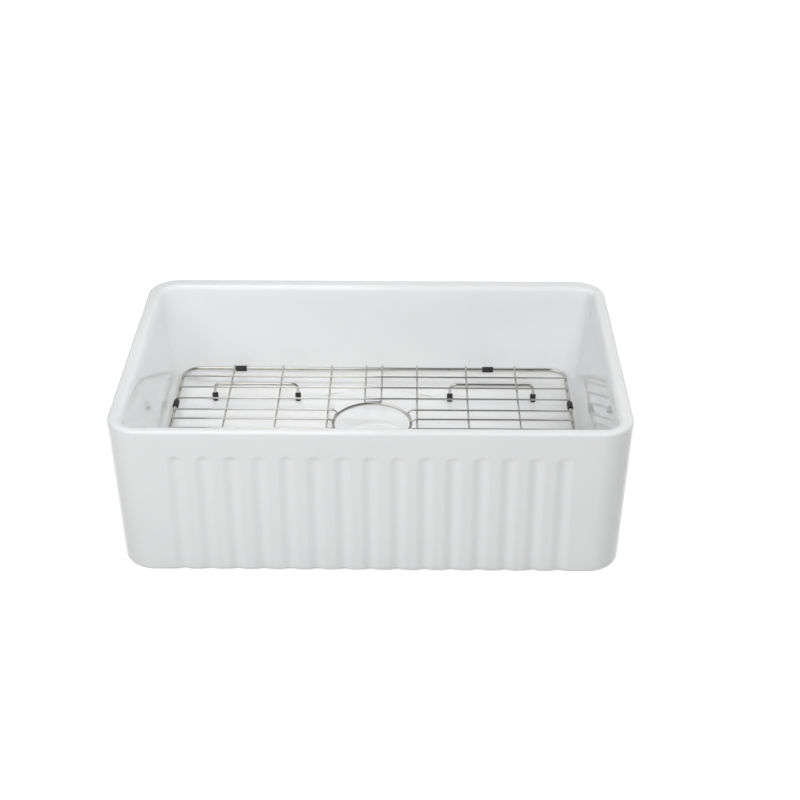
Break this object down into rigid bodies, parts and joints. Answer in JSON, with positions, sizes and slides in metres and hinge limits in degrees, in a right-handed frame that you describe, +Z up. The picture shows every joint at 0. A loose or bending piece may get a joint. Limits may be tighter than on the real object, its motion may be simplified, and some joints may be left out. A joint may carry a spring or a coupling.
{
  "type": "apron front sink",
  "caption": "Farmhouse apron front sink: glazed basin with a fluted apron, centre drain outlet and a lift-out wire bottom grid on rubber feet.",
  "frame": {"origin": "on the ground under the middle of the basin's bounding box", "axes": "+X to the right seen from the apron, +Y away from the apron towards the wall, +Z up"},
  "size_m": [0.762, 0.499, 0.244],
  "materials": {
    "glaze": "high gloss white glaze",
    "steel": "polished stainless steel wire",
    "rubber": "matte black rubber"
  },
  "bodies": {
    "sink": {"basin": "glaze"},
    "grid": {"bumper_back_left": "rubber", "bumper_back_right": "rubber", "bumper_front_left": "rubber", "bumper_front_right": "rubber", "bumper_left_back": "rubber", "bumper_left_front": "rubber", "bumper_right_back": "rubber", "bumper_right_front": "rubber", "cross_rod_back_1": "steel", "cross_rod_back_2": "steel", "cross_rod_back_3": "steel", "cross_rod_front_1": "steel", "cross_rod_front_2": "steel", "cross_rod_front_3": "steel", "cross_rod_front_4": "steel", "foot_cap_left_back_inner": "rubber", "foot_cap_left_back_outer": "rubber", "foot_cap_left_front_inner": "rubber", "foot_cap_left_front_outer": "rubber", "foot_cap_right_back_inner": "rubber", "foot_cap_right_back_outer": "rubber", "foot_cap_right_front_inner": "rubber", "foot_cap_right_front_outer": "rubber", "grid_drain_ring": "steel", "grid_frame": "steel", "hairpin_rod_back": "steel", "hairpin_rod_front": "steel", "leg_left_back": "steel", "leg_left_front": "steel", "leg_right_back": "steel", "leg_right_front": "steel", "long_rod_1": "steel", "long_rod_2": "steel", "long_rod_3": "steel", "long_rod_4": "steel", "long_rod_5": "steel", "long_rod_6": "steel", "ring_rod_left_back": "steel", "ring_rod_left_front": "steel", "ring_rod_left_middle": "steel", "ring_rod_right_back": "steel", "ring_rod_right_front": "steel", "ring_rod_right_middle": "steel"}
  },
  "joints": [
    {"name": "grid_lift", "type": "slide", "parent": "sink", "child": "grid", "axis": [0, 0, 1], "range_m": [0, 0.18]}
  ]
}
